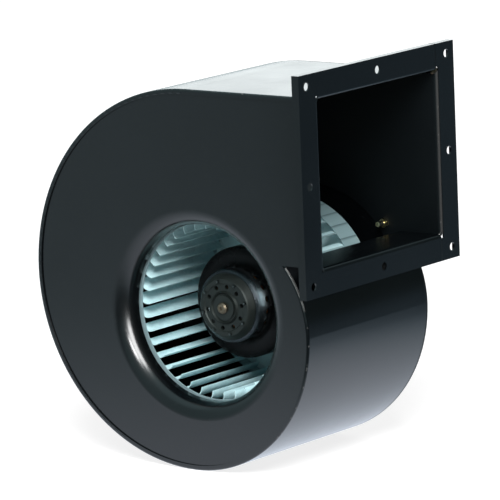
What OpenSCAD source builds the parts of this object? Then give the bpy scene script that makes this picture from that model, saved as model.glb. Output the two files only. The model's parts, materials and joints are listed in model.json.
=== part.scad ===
// Single-inlet centrifugal fan: a sheet-steel scroll housing with a square outlet flange,
// a forward-curved blade wheel and an external-rotor motor inside the wheel.
// Shapes are drawn as seen from the inlet: x to the outlet, y up, and depth into the fan
// counted from the outer face of the inlet side plate, with the wheel axis at x = y = 0.

/* [Housing] */
// Width over the two side plates
case_w = 197; // [185:1:230]
// Thickness of the housing sheet
sheet = 1.5; // [1:0.1:1.8]
// Height of the outlet duct, from its floor to the top run
outlet_h = 163; // [155:1:170]
// Distance from the wheel axis to the face of the outlet flange
outlet_x = 153; // [146:1:180]
// Radius of the scroll's top left arc
scroll_r = 188; // [184:1:194]
// How far the centre of the top left arc lies left of the wheel axis
scroll_shift = 5; // [0:1:10]
// How far the centre of the top left arc lies above the wheel axis
scroll_rise = 32; // [26:1:38]
// Loss of radius from the top left arc to the bottom left arc
step_left = 3.5; // [0:0.5:8]
// Loss of radius from the bottom left arc to the bottom right arc
step_bottom = 43; // [38:1:46]
// Loss of radius from the bottom right arc to the arc that ends at the tongue
step_right = 37; // [33:1:40]
// Outer radius of the folds between the wrapper and the side plates
edge_r = 2.5; // [2:0.1:4]
// Width of the hem that the wrapper folds over the inlet side plate
hem_w = 5; // [4:0.5:8]
// Depth of the motor side plate's edge inside the wrapper
edge_w = 8; // [6:0.5:12]

/* [Inlet] */
// Inner radius of the inlet throat
throat_r = 87; // [80:0.5:90]
// Radius of the bell mouth's rounding
bell_r = 16; // [10:0.5:20]
// Length of the straight throat behind the bell mouth
throat_len = 6; // [3:0.5:9]

/* [Outlet flange] */
// Radius of the bend between the duct and the flange
mouth_r = 4; // [3:0.5:6]
// Depth of the flange's turned-back edge
lip_w = 8; // [5:0.5:12]
// Width of the two side strips, counted from the side plates
side_bar_w = 29; // [26:0.5:36]
// Width of the top and bottom strips, counted from the duct
cross_bar_w = 25; // [22:0.5:32]
// Diameter of the flange holes
flange_hole_d = 8; // [5:0.1:9]
// Distance of the outer hole columns from the duct
hole_side = 16.5; // [13:0.5:19]
// Distance of the outer hole rows from the duct
hole_cross = 13.5; // [11:0.5:16]

/* [Wheel] */
// Outer diameter of the wheel
wheel_d = 188; // [184:1:190]
// Gap between the throat and the front ring of the wheel
inlet_gap = 5; // [3:0.5:8]
// Length of the wheel along its axis
wheel_w = 136; // [130:1:142]
// Number of blades
blade_count = 38; // [30:1:46]
// Radial depth of the blades
blade_depth = 14; // [10:0.5:16]
// Angle by which a blade turns from its inner edge to its tip
blade_turn = 90; // [70:5:110]
// Backward lean of the blades at their inner edge
blade_lean = 10; // [0:1:20]
// Thickness of the blade strip
blade_t = 0.8; // [0.5:0.1:1]
// Width of the strip's front band
front_band = 6; // [4:0.5:10]
// Width of the strip's rear band
rear_band = 26; // [22:1:38]
// Thickness of the front ring
ring_t = 1.2; // [0.8:0.1:2]
// Width of the front ring's lip in front of the blade ends
ring_lip = 7; // [4:0.5:9]
// Thickness of the wheel disc
disc_t = 1.5; // [1:0.1:2.5]
// Distance of the wheel disc from the rear end of the wheel
disc_inset = 12; // [10:0.5:16]
// Number of rivets between the disc and the strip
rivet_count = 12; // [6:1:18]
// Diameter of the rivets
rivet_d = 3; // [2:0.1:4]

/* [Rotor] */
// Outer diameter of the rotor drum
rotor_d = 110; // [104:1:114]
// Length of the rotor drum in front of the wheel disc
rotor_len = 80; // [76:1:86]
// Wall of the rotor shell
rotor_wall = 2.5; // [2:0.1:3]
// Diameter of the rotor's front neck
neck_d = 72; // [68:1:76]
// Length of the front neck
neck_len = 21; // [18:0.5:24]
// Radius of the rounding at the neck's front edge
neck_edge = 3; // [2:0.5:4]
// Number of round openings in the side of the neck
neck_vent_count = 18; // [12:1:20]
// Diameter of the openings in the side of the neck
neck_vent_d = 6.5; // [4:0.5:8]
// Height of the cast end cap over the neck
end_cap_h = 7.5; // [6:0.5:10]
// Diameter of the end cap's flat face
end_cap_d = 58; // [54:1:60]
// Width of the rotor's rear flange
rotor_flange_w = 11; // [10:0.5:14]
// Number of screws through the rotor's rear flange
rotor_screw_count = 6; // [3:1:8]
// Number of balance pins on the end cap
pin_count = 8; // [4:1:12]
// Number of round openings in the end cap
vent_count = 10; // [6:1:12]
// Diameter of the round openings in the end cap
vent_d = 4.5; // [3:0.1:5.5]

/* [Motor] */
// Length of the stator core
core_len = 44; // [38:1:48]
// Number of stator slots
slot_count = 24; // [18:1:28]
// Air gap between stator and rotor core
air_gap = 0.5; // [0.3:0.1:0.8]
// Radial thickness of the rotor core ring
rotor_core_t = 4.4; // [3.5:0.1:5.5]
// Diameter of the shaft
shaft_d = 8; // [6:0.5:8.5]
// Outer diameter of the ball bearings
bearing_d = 22; // [20:0.5:24]
// Width of the ball bearings
bearing_w = 7; // [6:0.5:8]
// Wall of the bearing tube at the bearings
tube_wall = 3; // [2.5:0.1:4]
// Diameter of the stator base's foot
foot_d = 92; // [88:1:100]
// Thickness of the stator base's foot
foot_t = 8; // [6:0.5:10]
// Diameter of the motor plate
motor_plate_d = 236; // [234:1:240]
// Thickness of the motor plate
motor_plate_t = 2; // [1.5:0.1:3]
// Diameter of the hole that the wheel passes through
wheel_hole_d = 197; // [196:1:202]
// Number of motor plate screws
plate_screw_count = 6; // [3:1:8]
// Angle of the first motor plate screw above the outlet direction
plate_screw_angle = 37; // [34:1:44]
// Number of stator base screws
foot_screw_count = 4; // [3:1:6]
// Thread diameter of the housing screws
screw_d = 5; // [4:0.5:6]
// Length of the motor plate screws' shanks
screw_len = 16; // [12:1:20]
// Diameter of the grommet's bore
grommet_d = 7; // [5:0.5:9]

/* [Hidden] */
$fn = 96;
// Clearance of pieces that are pressed or slipped together
slip = 0.05;
// Clearance between pieces that turn and pieces that stand still
run = 0.3;
// Screw holes are this much wider than the screw
hole_gap = 0.5;

// Room that one sheet takes beside another, with its clearance
seam_h = sheet + slip;

// Scroll: centres and radii of the four arcs, from the top left round to the tongue
arc_r = [scroll_r, scroll_r - step_left, scroll_r - step_left - step_bottom,
         scroll_r - step_left - step_bottom - step_right];
arc_c = [[-scroll_shift, scroll_rise],
         [-scroll_shift - step_left, scroll_rise],
         [-scroll_shift - step_left, scroll_rise - step_bottom],
         [-scroll_shift - step_left + step_right, scroll_rise - step_bottom]];
arc_from = [90, 180, 270, 0];
top_h = scroll_rise + scroll_r;
floor_h = top_h - outlet_h;
tongue_a = asin((floor_h - arc_c[3][1]) / arc_r[3]);
// Fold of the wrapper at the tongue: the last arc ends inside the floor sheet
fold_a = asin((floor_h + sheet / 2 - arc_c[3][1]) / arc_r[3]);
fold_x = arc_c[3][0] + arc_r[3] * cos(fold_a);
// The hem stops this angle before the tongue, and the fold's tab starts this angle before that
hem_stop_a = 1;
tab_lap_a = 2;
hem_a = tongue_a - hem_stop_a;
tab_inset = sheet / 5;
wall_y = edge_r - seam_h;
mouth_x = outlet_x - mouth_r;

// Wheel
wheel_r = wheel_d / 2;
blade_in = wheel_r - blade_depth;
throat_end = bell_r + throat_len;
wheel_y = throat_end + inlet_gap;
wheel_end = wheel_y + wheel_w;
strip_y = wheel_y + ring_t + slip;
disc_y = wheel_end - disc_inset;
band_in = wheel_r - blade_t;
collar_w = 9;
blade_lap = 3;
rivet_inset = 6;
rivet_y = disc_y + disc_t + rivet_inset;

// Blade: an arc whose chord reaches from the inner circle to the tip circle
blade_tip = wheel_r - 0.8 * blade_t;
chord_a = blade_lean - blade_turn / 2;
blade_chord = sqrt(blade_tip ^ 2 - (blade_in * sin(chord_a)) ^ 2) - blade_in * cos(chord_a);
blade_r = blade_chord / (2 * sin(blade_turn / 2));
blade_c = [blade_in + blade_r * sin(blade_lean), -blade_r * cos(blade_lean)];

// Rotor
rotor_r = rotor_d / 2;
rotor_in = rotor_r - rotor_wall;
neck_r = neck_d / 2;
neck_in = neck_r - rotor_wall;
seat_y = disc_y + disc_t;
shoulder_y = disc_y + disc_t - rotor_len;
neck_y = shoulder_y - neck_len;
face_y = neck_y - end_cap_h;
neck_open_r = neck_r - neck_edge - rotor_wall;
neck_vent_gap = 5;
neck_vent_a = 12;
drum_edge = 3;
flange_r = rotor_r + rotor_flange_w;
rotor_screw_r = rotor_r + rotor_flange_w / 2;
rotor_screw_d = 4;
rotor_head_t = 2.5;
// End cap: steps of its face, walls, the spigot in the neck, and the boss with its groove
end_cap_r = end_cap_d / 2;
relief = 1;
rim_w = 5;
face_t = 4;
flank_t = 3;
base_t = 1;
spigot = 3;
boss_r = 15;
groove_w = 1.5;
hub_t = 6;
pin_inset = 3;
pin_ring_r = end_cap_r - pin_inset;
pin_r = 1.6;
pin_h = 2;
vent_ring_r = (boss_r + pin_ring_r) / 2;
shaft_inset = 3;
cap_r = 5.5;
cap_h = 5;
cap_edge = 1.5;
dimple_r = [1, 1.8];

// Motor
core_inset = 16;
core_y = shoulder_y + core_inset;
core_end = core_y + core_len;
rotor_core_in = rotor_in - slip - rotor_core_t;
core_r = rotor_core_in - air_gap;
bearing_r = bearing_d / 2;
tube_r = bearing_r + tube_wall;
yoke_t = 12;
tip_t = 2.5;
slot_in = tube_r + yoke_t;
slot_out = core_r - tip_t;
slot_w = 3;
paper_t = 1;
paper_gap = 5;
coil_t = 9;
coil_gap = 9;
coil_in = tube_r + coil_gap;
hub_len = 13;
front_bearing_y = neck_y + hub_len;
bearing_step = 2;
rear_bearing_y = seat_y - bearing_step;
inner_ring_t = 2.2;
outer_ring_t = 2.4;
shaft_r = shaft_d / 2;
tube_y = front_bearing_y - bearing_step;
clip_y = rear_bearing_y + bearing_w + slip;
clip_t = 1;
clip_w = 1.6;
groove_t = 0.6;
shaft_tail = 1.5;
shaft_end = clip_y + clip_t + shaft_tail;
tube_end = shaft_end + bearing_step;
socket_len = 12;
socket_t = 5;
socket_y = tube_end - socket_len;
foot_r = foot_d / 2;
foot_screw_inset = 10;
foot_screw_r = foot_r - foot_screw_inset;
foot_edge = 1;
// Cone between the socket and the foot: its height, and its wall at both ends
cone_h = 6;
cone_t = [8, 14];
plate_screw_r = (motor_plate_d / 2 + wheel_hole_d / 2) / 2;
screw_r = screw_d / 2;
head_af = 1.6 * screw_d;
head_t = 0.7 * screw_d;
nut_t = 0.8 * screw_d;
plate_out = case_w + motor_plate_t;
grommet_wall = 3;
grommet_r = grommet_d / 2 + grommet_wall;
grommet_gap = 14;
grommet_pos = [0, -foot_r - grommet_r - grommet_gap];
grommet_lip = 2;

black_paint = [0.13, 0.14, 0.15];
black_gloss = [0.08, 0.08, 0.09];
zinc = [0.70, 0.82, 0.84];
yellow_zinc = [0.80, 0.62, 0.22];
steel = [0.62, 0.63, 0.65];
cast_grey = [0.36, 0.40, 0.38];
core_grey = [0.40, 0.41, 0.43];

// Moves the drawing to the part's frame: origin at the middle of the flange's bolt pattern
module in_place() {
    translate([-outlet_x, -case_w / 2, -(floor_h + outlet_h / 2)])
        rotate([90, 0, 0])
            children();
}

// A flat shape that reaches from one depth to another
module slab(from, to) {
    translate([0, 0, -to])
        linear_extrude(to - from)
            children();
}

// A ring or disc on the wheel axis
module ring(r_in, r_out, from, to) {
    slab(from, to)
        difference() {
            circle(r_out);
            if (r_in > 0) circle(r_in);
        }
}

// A turned piece: each point is [radius, depth]
module turned(points) {
    rotate_extrude()
        polygon([for (p = points) [p[0], -p[1]]]);
}

// Copies round the wheel axis
module around(count, first = 0) {
    for (i = [0:count - 1])
        rotate(first + i * 360 / count)
            children();
}

// One arc of the scroll, as a curved wall or, with no inner radius, as a filled sector
module arc_wall(i, r_in, r_out, from, to, sweep = 90, first = 0) {
    translate([arc_c[i][0], arc_c[i][1], -to])
        rotate(arc_from[i] + first)
            rotate_extrude(angle = sweep)
                translate([r_in, 0])
                    square([r_out - r_in, to - from]);
}

// Flat part of a side plate, a given distance inside the scroll's outline
module side_flat(inset, from, to) {
    for (i = [0:3])
        arc_wall(i, 0, arc_r[i] - inset, from, to);
    slab(from, to)
        polygon([[arc_c[0][0], top_h - inset], [mouth_x, top_h - inset], [mouth_x, floor_h],
                 [arc_c[3][0], floor_h], arc_c[3], arc_c[2], arc_c[1], arc_c[0]]);
}

// Draws a section along the scroll's arcs and the top run, with x = 0 on the outline and y = -depth
module along_scroll() {
    for (i = [0:3])
        translate(arc_c[i])
            rotate(arc_from[i])
                rotate_extrude(angle = i < 3 ? 90 : hem_a)
                    translate([arc_r[i], 0])
                        children();
    translate([arc_c[0][0], top_h, 0])
        rotate([90, 0, 90])
            linear_extrude(mouth_x - arc_c[0][0])
                children();
}

// Section of a quarter bend of sheet, in the corner between x = 0 and y = 0
module corner_bend(r) {
    intersection() {
        translate([-r, -r])
            difference() {
                circle(r);
                circle(r - sheet);
            }
        translate([-r, -r])
            square(r);
    }
}

// Hexagon with the given width across flats
module hex(width, from, to) {
    slab(from, to)
        circle(r = width / sqrt(3), $fn = 6);
}

module inlet_side_plate() {
    color(black_paint)
        in_place() {
            difference() {
                side_flat(edge_r, 0, sheet);
                ring(0, throat_r + bell_r, -1, sheet + 1);
            }
            bell_mouth();
        }
}

// Rolled inlet: a quarter round that leads into a short straight throat
module bell_mouth() {
    rotate_extrude()
        union() {
            intersection() {
                translate([throat_r + bell_r, -bell_r])
                    difference() {
                        circle(bell_r);
                        circle(bell_r - sheet);
                    }
                translate([throat_r, -bell_r])
                    square([bell_r, bell_r]);
            }
            translate([throat_r, -throat_end])
                square([sheet, throat_len]);
        }
}

// Section of the motor side plate's edge, which is bent into the wrapper
module inner_edge() {
    translate([-seam_h, -case_w])
        mirror([0, 1])
            union() {
                corner_bend(edge_r);
                translate([-sheet, -edge_w])
                    square([sheet, edge_w - edge_r]);
            }
}

module motor_side_plate() {
    color(black_paint)
        in_place()
            difference() {
                union() {
                    side_flat(seam_h + edge_r, case_w - sheet, case_w);
                    along_scroll()
                        inner_edge();
                }
                ring(0, wheel_hole_d / 2, case_w - sheet - 1, case_w + 1);
                around(plate_screw_count, plate_screw_angle)
                    translate([plate_screw_r, 0])
                        slab(case_w - sheet - 1, case_w + 1)
                            circle(screw_r + hole_gap / 2);
            }
}

// Section of the hem: the wrapper's bend round the inlet side plate's edge, and its lap on the plate
module hem_section() {
    translate([0, seam_h])
        union() {
            corner_bend(edge_r);
            translate([-hem_w, -sheet])
                square([hem_w - edge_r, sheet]);
        }
}

module scroll_wrapper() {
    color(black_paint)
        in_place() {
            along_scroll()
                hem_section();
            along_scroll()
                translate([-sheet, -case_w])
                    square([sheet, case_w - wall_y]);
            arc_wall(3, arc_r[3] - sheet + tab_inset, arc_r[3] - tab_inset, sheet, case_w - sheet,
                     fold_a - hem_a + tab_lap_a, hem_a - tab_lap_a);
            slab(sheet, case_w - sheet)
                translate([fold_x - sheet, floor_h])
                    square([mouth_x - fold_x + sheet, sheet]);
        }
}

// Outlet flange, drawn about the middle of its face: across, up, and x out of the duct
half_w = case_w / 2;
half_h = outlet_h / 2;
column = half_w + hole_side;
row = half_h + hole_cross;
edge_y = half_w + side_bar_w;
edge_z = half_h + cross_bar_w;
duct_y = half_w - sheet;
duct_z = [-half_h + sheet, half_h - sheet];
strip_z = [duct_z[0] - mouth_r, duct_z[1] + mouth_r];
bend_lap = mouth_r / 2;

// Sheet in the flange plane between two corners [across, up], drilled at the given places
module flange_sheet(low, high, depth = sheet, holes = []) {
    translate([-depth, 0, 0])
        rotate([90, 0, 90])
            linear_extrude(depth)
                difference() {
                    translate(low)
                        square(high - low);
                    for (p = holes)
                        translate(p)
                            circle(flange_hole_d / 2);
                }
}

// Section of the bend at the mouth: x out of the duct, y away from it, with a tail that laps into the flat
module mouth_section() {
    mirror([0, 1])
        union() {
            corner_bend(mouth_r);
            translate([-sheet, -mouth_r - bend_lap])
                square([sheet, bend_lap]);
        }
}

// Strip above or below the duct, drawn above it: flat, turned-back edges and the bend
module cross_strip(inner) {
    flange_sheet([-edge_y, inner + mouth_r], [edge_y, edge_z], sheet,
                 [[-column, row], [0, row], [column, row]]);
    flange_sheet([-edge_y, edge_z - sheet], [edge_y, edge_z], lip_w);
    for (y = [-edge_y, edge_y - sheet])
        flange_sheet([y, inner + mouth_r], [y + sheet, edge_z], lip_w);
    translate([0, duct_y, inner])
        rotate([90, 0, 0])
            linear_extrude(2 * duct_y)
                mouth_section();
}

// Strip beside the duct on the motor side
module side_strip() {
    flange_sheet([duct_y + mouth_r, strip_z[0]], [edge_y, strip_z[1]], sheet, [[column, 0]]);
    flange_sheet([edge_y - sheet, strip_z[0]], [edge_y, strip_z[1]], lip_w);
    translate([0, duct_y, duct_z[0]])
        linear_extrude(duct_z[1] - duct_z[0])
            mouth_section();
}

module flange_top_bar() {
    color(black_paint)
        cross_strip(duct_z[1]);
}

module flange_bottom_bar() {
    color(black_paint)
        mirror([0, 0, 1])
            cross_strip(-duct_z[0]);
}

module flange_inlet_bar() {
    color(black_paint)
        mirror([0, 1, 0])
            side_strip();
}

module flange_motor_bar() {
    color(black_paint)
        side_strip();
}

module motor_plate() {
    color(black_paint)
        in_place()
            difference() {
                ring(0, motor_plate_d / 2, case_w, plate_out);
                around(plate_screw_count, plate_screw_angle)
                    translate([plate_screw_r, 0])
                        slab(case_w - 1, plate_out + 1)
                            circle(screw_r + hole_gap / 2);
                around(foot_screw_count, 45)
                    translate([foot_screw_r, 0])
                        slab(case_w - 1, plate_out + 1)
                            circle(screw_r + hole_gap / 2);
                translate(grommet_pos)
                    slab(case_w - 1, plate_out + 1)
                        circle(grommet_r + slip);
            }
}

// Hexagon-head screw whose head rests on the motor plate
module plate_screw(length) {
    hex(head_af, plate_out, plate_out + head_t);
    ring(0, screw_r, plate_out - length, plate_out);
}

module motor_plate_screws() {
    color(yellow_zinc)
        in_place()
            around(plate_screw_count, plate_screw_angle)
                translate([plate_screw_r, 0])
                    plate_screw(screw_len);
}

module motor_plate_nuts() {
    color(yellow_zinc)
        in_place()
            around(plate_screw_count, plate_screw_angle)
                translate([plate_screw_r, 0])
                    difference() {
                        hex(head_af, case_w - sheet - nut_t, case_w - sheet);
                        ring(0, screw_r + slip, case_w - sheet - nut_t - 1, case_w - sheet + 1);
                    }
}

// Cast foot with the neck that holds the bearing tube
module stator_base() {
    color(cast_grey)
        in_place()
            difference() {
                turned([[tube_r + slip, socket_y], [tube_r + socket_t, socket_y],
                        [tube_r + cone_t[0], case_w - foot_t - cone_h], [tube_r + cone_t[1], case_w - foot_t],
                        [foot_r - foot_edge, case_w - foot_t], [foot_r, case_w - foot_t + foot_edge],
                        [foot_r, case_w], [0, case_w], [0, tube_end], [tube_r + slip, tube_end]]);
                around(foot_screw_count, 45)
                    translate([foot_screw_r, 0])
                        ring(0, screw_r + slip, case_w - foot_t - 1, case_w + 1);
            }
}

module stator_base_screws() {
    color(yellow_zinc)
        in_place()
            around(foot_screw_count, 45)
                translate([foot_screw_r, 0])
                    plate_screw(motor_plate_t + foot_t - 1);
}

// Tube with a seat for a bearing at each end
module bearing_tube() {
    color(steel)
        in_place()
            difference() {
                ring(0, tube_r, tube_y, tube_end);
                ring(0, bearing_r + slip, tube_y - 1, front_bearing_y + bearing_w);
                ring(0, bearing_r - tube_wall / 2, tube_y, tube_end - 1);
                ring(0, bearing_r + slip, rear_bearing_y, tube_end + 1);
            }
}

// Open slots round the stator, as far as the given radius
module slots(r_end, width, from, to) {
    around(slot_count)
        slab(from, to)
            translate([slot_in, -width / 2])
                square([r_end - slot_in, width]);
}

module stator_core() {
    color(core_grey)
        in_place()
            difference() {
                ring(tube_r + slip, core_r, core_y, core_end);
                slots(core_r + 1, slot_w, core_y - 1, core_end + 1);
            }
}

module slot_insulation() {
    color([0.85, 0.83, 0.74])
        in_place()
            for (y = [core_y - paper_t, core_end])
                difference() {
                    ring(tube_r + paper_gap, slot_out, y, y + paper_t);
                    slots(core_r + 1, slot_w, y - 1, y + paper_t + 1);
                }
}

// Copper in the slots, with the rounded end turns on both faces of the core
module stator_windings() {
    color([0.72, 0.42, 0.20])
        in_place() {
            slots(slot_out, slot_w - 2 * slip, core_y - paper_t - 1, core_end + paper_t + 1);
            end_turns(core_y - paper_t - coil_t, core_y - paper_t);
            end_turns(core_end + paper_t, core_end + paper_t + coil_t);
        }
}

module end_turns(from, to) {
    bevel = 3;
    turned([[coil_in, from + bevel], [coil_in + bevel, from], [slot_out - bevel, from],
            [slot_out, from + bevel], [slot_out, to - bevel], [slot_out - bevel, to],
            [coil_in + bevel, to], [coil_in, to - bevel]]);
}

// Outer ring with its two shields, which stop just short of the inner ring
module bearing_outer_rings() {
    shield_in = shaft_r + inner_ring_t + run;
    shield_t = 0.8;
    color(steel)
        in_place()
            for (y = [front_bearing_y, rear_bearing_y])
                difference() {
                    ring(shield_in, bearing_r, y, y + bearing_w);
                    ring(0, bearing_r - outer_ring_t, y + shield_t, y + bearing_w - shield_t);
                }
}

module bearing_inner_rings() {
    color(steel)
        in_place()
            for (y = [front_bearing_y, rear_bearing_y])
                ring(shaft_r + slip, shaft_r + inner_ring_t, y, y + bearing_w);
}

// Rubber sleeve in the motor plate, with a lip on each side
module cable_grommet() {
    color([0.06, 0.06, 0.06])
        in_place()
            translate(grommet_pos)
                difference() {
                    union() {
                        ring(0, grommet_r, case_w - grommet_lip, plate_out + grommet_lip);
                        ring(0, grommet_r + grommet_lip, case_w - grommet_lip, case_w);
                        ring(0, grommet_r + grommet_lip, plate_out, plate_out + grommet_lip);
                    }
                    ring(0, grommet_d / 2, case_w - grommet_lip - 1, plate_out + grommet_lip + 1);
                }
}

// Ring that caps the blade ends and grips the strip's front band
module wheel_front_ring() {
    color(zinc)
        in_place() {
            ring(wheel_r - ring_lip, wheel_r + slip + ring_t, wheel_y, strip_y);
            ring(wheel_r + slip, wheel_r + slip + ring_t, wheel_y, strip_y + front_band);
        }
}

// One forward-curved blade: an arc that turns from the inner circle to the tip circle
module blade(from, to) {
    translate([blade_c[0], blade_c[1], -to])
        rotate(90 + blade_lean - blade_turn)
            rotate_extrude(angle = blade_turn)
                translate([blade_r - blade_t / 2, 0])
                    square([blade_t, to - from]);
}

module blade_strip() {
    color(zinc)
        in_place() {
            ring(band_in, wheel_r, strip_y, strip_y + front_band);
            ring(band_in, wheel_r, wheel_end - rear_band, wheel_end);
            around(blade_count)
                blade(strip_y + blade_t, wheel_end - rear_band + blade_lap);
        }
}

// Pressed disc with a collar that is riveted inside the strip's rear band
module wheel_disc() {
    collar_r = band_in - slip;
    color(zinc)
        in_place()
            difference() {
                union() {
                    ring(rotor_r + slip, collar_r, disc_y, seat_y);
                    ring(collar_r - disc_t, collar_r, disc_y, seat_y + collar_w);
                }
                around(rotor_screw_count)
                    translate([rotor_screw_r, 0])
                        ring(0, rotor_screw_d / 2 + slip, disc_y - 1, seat_y + 1);
                around(rivet_count)
                    rivet_body(rivet_d / 2 + slip);
            }
}

// Round body along a radius, through the band and the collar
module rivet_body(r) {
    translate([band_in - disc_t - 2, 0, -rivet_y])
        rotate([0, 90, 0])
            cylinder(r = r, h = wheel_r - band_in + disc_t + 4);
}

// Head inside the collar, body through it as far as the band
module disc_rivets() {
    seat_r = sqrt((band_in - slip - disc_t) ^ 2 - rivet_d ^ 2) - slip;
    tail_r = band_in - 2 * slip - rivet_d ^ 2 / band_in / 4;
    color(zinc)
        in_place()
            around(rivet_count)
                translate([seat_r, 0, -rivet_y]) {
                    rotate([0, -90, 0])
                        cylinder(r = rivet_d, h = rivet_d / 3);
                    rotate([0, 90, 0])
                        cylinder(r = rivet_d / 2, h = tail_r - seat_r);
                }
}

// Half section of a round body that starts at a depth: its front edge is rounded
module rounded_half(r, from, to, edge) {
    translate([0, -to])
        square([r - edge, to - from]);
    translate([0, -to])
        square([r, to - from - edge]);
    translate([r - edge, -from - edge])
        circle(edge);
}

// Half section of the rotor shell: narrow neck in front, wide drum, flange behind
module rotor_section() {
    rear_y = seat_y + rotor_wall;
    difference() {
        union() {
            rounded_half(neck_r, neck_y, shoulder_y + rotor_wall, neck_edge);
            rounded_half(rotor_r, shoulder_y, rear_y, drum_edge);
            translate([0, -rear_y])
                square([flange_r, rotor_wall]);
        }
        translate([0, -rear_y - 1])
            square([rotor_in, rear_y - shoulder_y - rotor_wall + 1]);
        translate([0, -rear_y - 1])
            square([neck_in, rear_y - neck_y - rotor_wall + 1]);
        translate([0, -rear_y - 1])
            square([neck_open_r, rear_y - neck_y + 2]);
    }
}

// Steel cup of the rotor, with a row of openings in the side of the neck
module rotor_shell() {
    color(black_gloss)
        in_place()
            difference() {
                rotate_extrude()
                    rotor_section();
                around(rotor_screw_count)
                    translate([rotor_screw_r, 0])
                        ring(0, rotor_screw_d / 2 + slip, seat_y - 1, seat_y + rotor_wall + 1);
                around(neck_vent_count, neck_vent_a)
                    translate([neck_in - 1, 0, neck_vent_gap - shoulder_y])
                        rotate([0, 90, 0])
                            cylinder(d = neck_vent_d, h = rotor_wall + 2);
            }
}

module rotor_screws() {
    color(steel)
        in_place()
            around(rotor_screw_count)
                translate([rotor_screw_r, 0]) {
                    ring(0, rotor_screw_d / 2, disc_y - rotor_screw_d / 2, seat_y + rotor_wall);
                    ring(0, 0.9 * rotor_screw_d, seat_y + rotor_wall, seat_y + rotor_wall + rotor_head_t);
                }
}

module rotor_core() {
    color(core_grey)
        in_place()
            ring(rotor_core_in, rotor_in - slip, core_y, core_end);
}

// Cast cap of the rotor: flat face, sloping flank, raised ring, round openings and the hub of the shaft
module rotor_end_cap() {
    low = face_y + relief;
    under = face_y + face_t;
    base_r = neck_r - neck_edge;
    spigot_r = neck_open_r - slip;
    nose_r = shaft_r + inner_ring_t - run;
    color(cast_grey)
        in_place()
            difference() {
                turned([[0, face_y - relief], [boss_r - 2 * groove_w, face_y - relief],
                        [boss_r - 2 * groove_w, low], [boss_r - groove_w, low],
                        [boss_r, face_y - relief], [boss_r + groove_w, low],
                        [end_cap_r - rim_w - relief, low], [end_cap_r - rim_w, face_y],
                        [end_cap_r - relief, face_y], [end_cap_r, low],
                        [base_r, neck_y - base_t], [base_r, neck_y], [spigot_r, neck_y],
                        [spigot_r, neck_y + spigot], [spigot_r - flank_t, neck_y + spigot],
                        [end_cap_r - flank_t, under], [shaft_r + hub_t, under],
                        [shaft_r + hub_t - relief, front_bearing_y - hub_t],
                        [nose_r, front_bearing_y - bearing_step], [nose_r, front_bearing_y],
                        [0, front_bearing_y]]);
                ring(0, shaft_r + slip, face_y + shaft_inset, front_bearing_y + 1);
                around(vent_count, 9)
                    translate([vent_ring_r, 0])
                        ring(0, vent_d / 2, face_y - relief - 1, under + 1);
            }
}

module balance_pins() {
    color(zinc)
        in_place()
            around(pin_count, 14)
                translate([pin_ring_r, 0])
                    turned([[0, face_y - pin_h], [pin_r / 2, face_y - pin_h],
                            [0.9 * pin_r, face_y - 0.6 * pin_h], [pin_r, face_y], [0, face_y]]);
}

module shaft() {
    color(steel)
        in_place()
            difference() {
                ring(0, shaft_r, face_y + shaft_inset, shaft_end);
                ring(shaft_r - groove_t, shaft_r + 1, clip_y, clip_y + clip_t);
            }
}

// Open ring in the shaft's groove behind the rear bearing
module retaining_ring() {
    color(steel)
        in_place()
            difference() {
                ring(shaft_r - groove_t + slip, shaft_r + clip_w, clip_y + slip, clip_y + clip_t - slip);
                slab(clip_y - 1, clip_y + clip_t + 1)
                    translate([0, -shaft_r / 2])
                        square([shaft_r + 2 * clip_w, shaft_r]);
            }
}

module shaft_cap() {
    color([0.80, 0.66, 0.44])
        in_place()
            turned([[0, face_y - cap_h + cap_edge], [dimple_r[0], face_y - cap_h + cap_edge],
                    [dimple_r[1], face_y - cap_h], [cap_r - cap_edge, face_y - cap_h],
                    [cap_r, face_y - cap_h + cap_edge], [cap_r, face_y - relief], [0, face_y - relief]]);
}

inlet_side_plate();
motor_side_plate();
scroll_wrapper();
flange_top_bar();
flange_bottom_bar();
flange_inlet_bar();
flange_motor_bar();
motor_plate();
motor_plate_screws();
motor_plate_nuts();
stator_base();
stator_base_screws();
bearing_tube();
stator_core();
slot_insulation();
stator_windings();
bearing_outer_rings();
cable_grommet();
wheel_front_ring();
blade_strip();
wheel_disc();
disc_rivets();
rotor_shell();
rotor_screws();
rotor_core();
rotor_end_cap();
balance_pins();
shaft();
bearing_inner_rings();
retaining_ring();
shaft_cap();
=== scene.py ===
# %% [markdown]
# # A centrifugal fan in black sheet steel
# The solids of the fan come from the frame: a scroll housing with a flanged outlet, and a blade wheel
# that turns on an external-rotor motor. Here they get their paint, zinc and castings, a few small
# pieces that only the eye needs, a plain studio and the camera. Lengths are metres, +X leaves the
# outlet, +Y runs along the wheel axis away from the inlet, and +Z is up.

# %% Load the frame
import json
import math

import bmesh
import bpy
import numpy as np
from mathutils import Matrix, Vector


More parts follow.
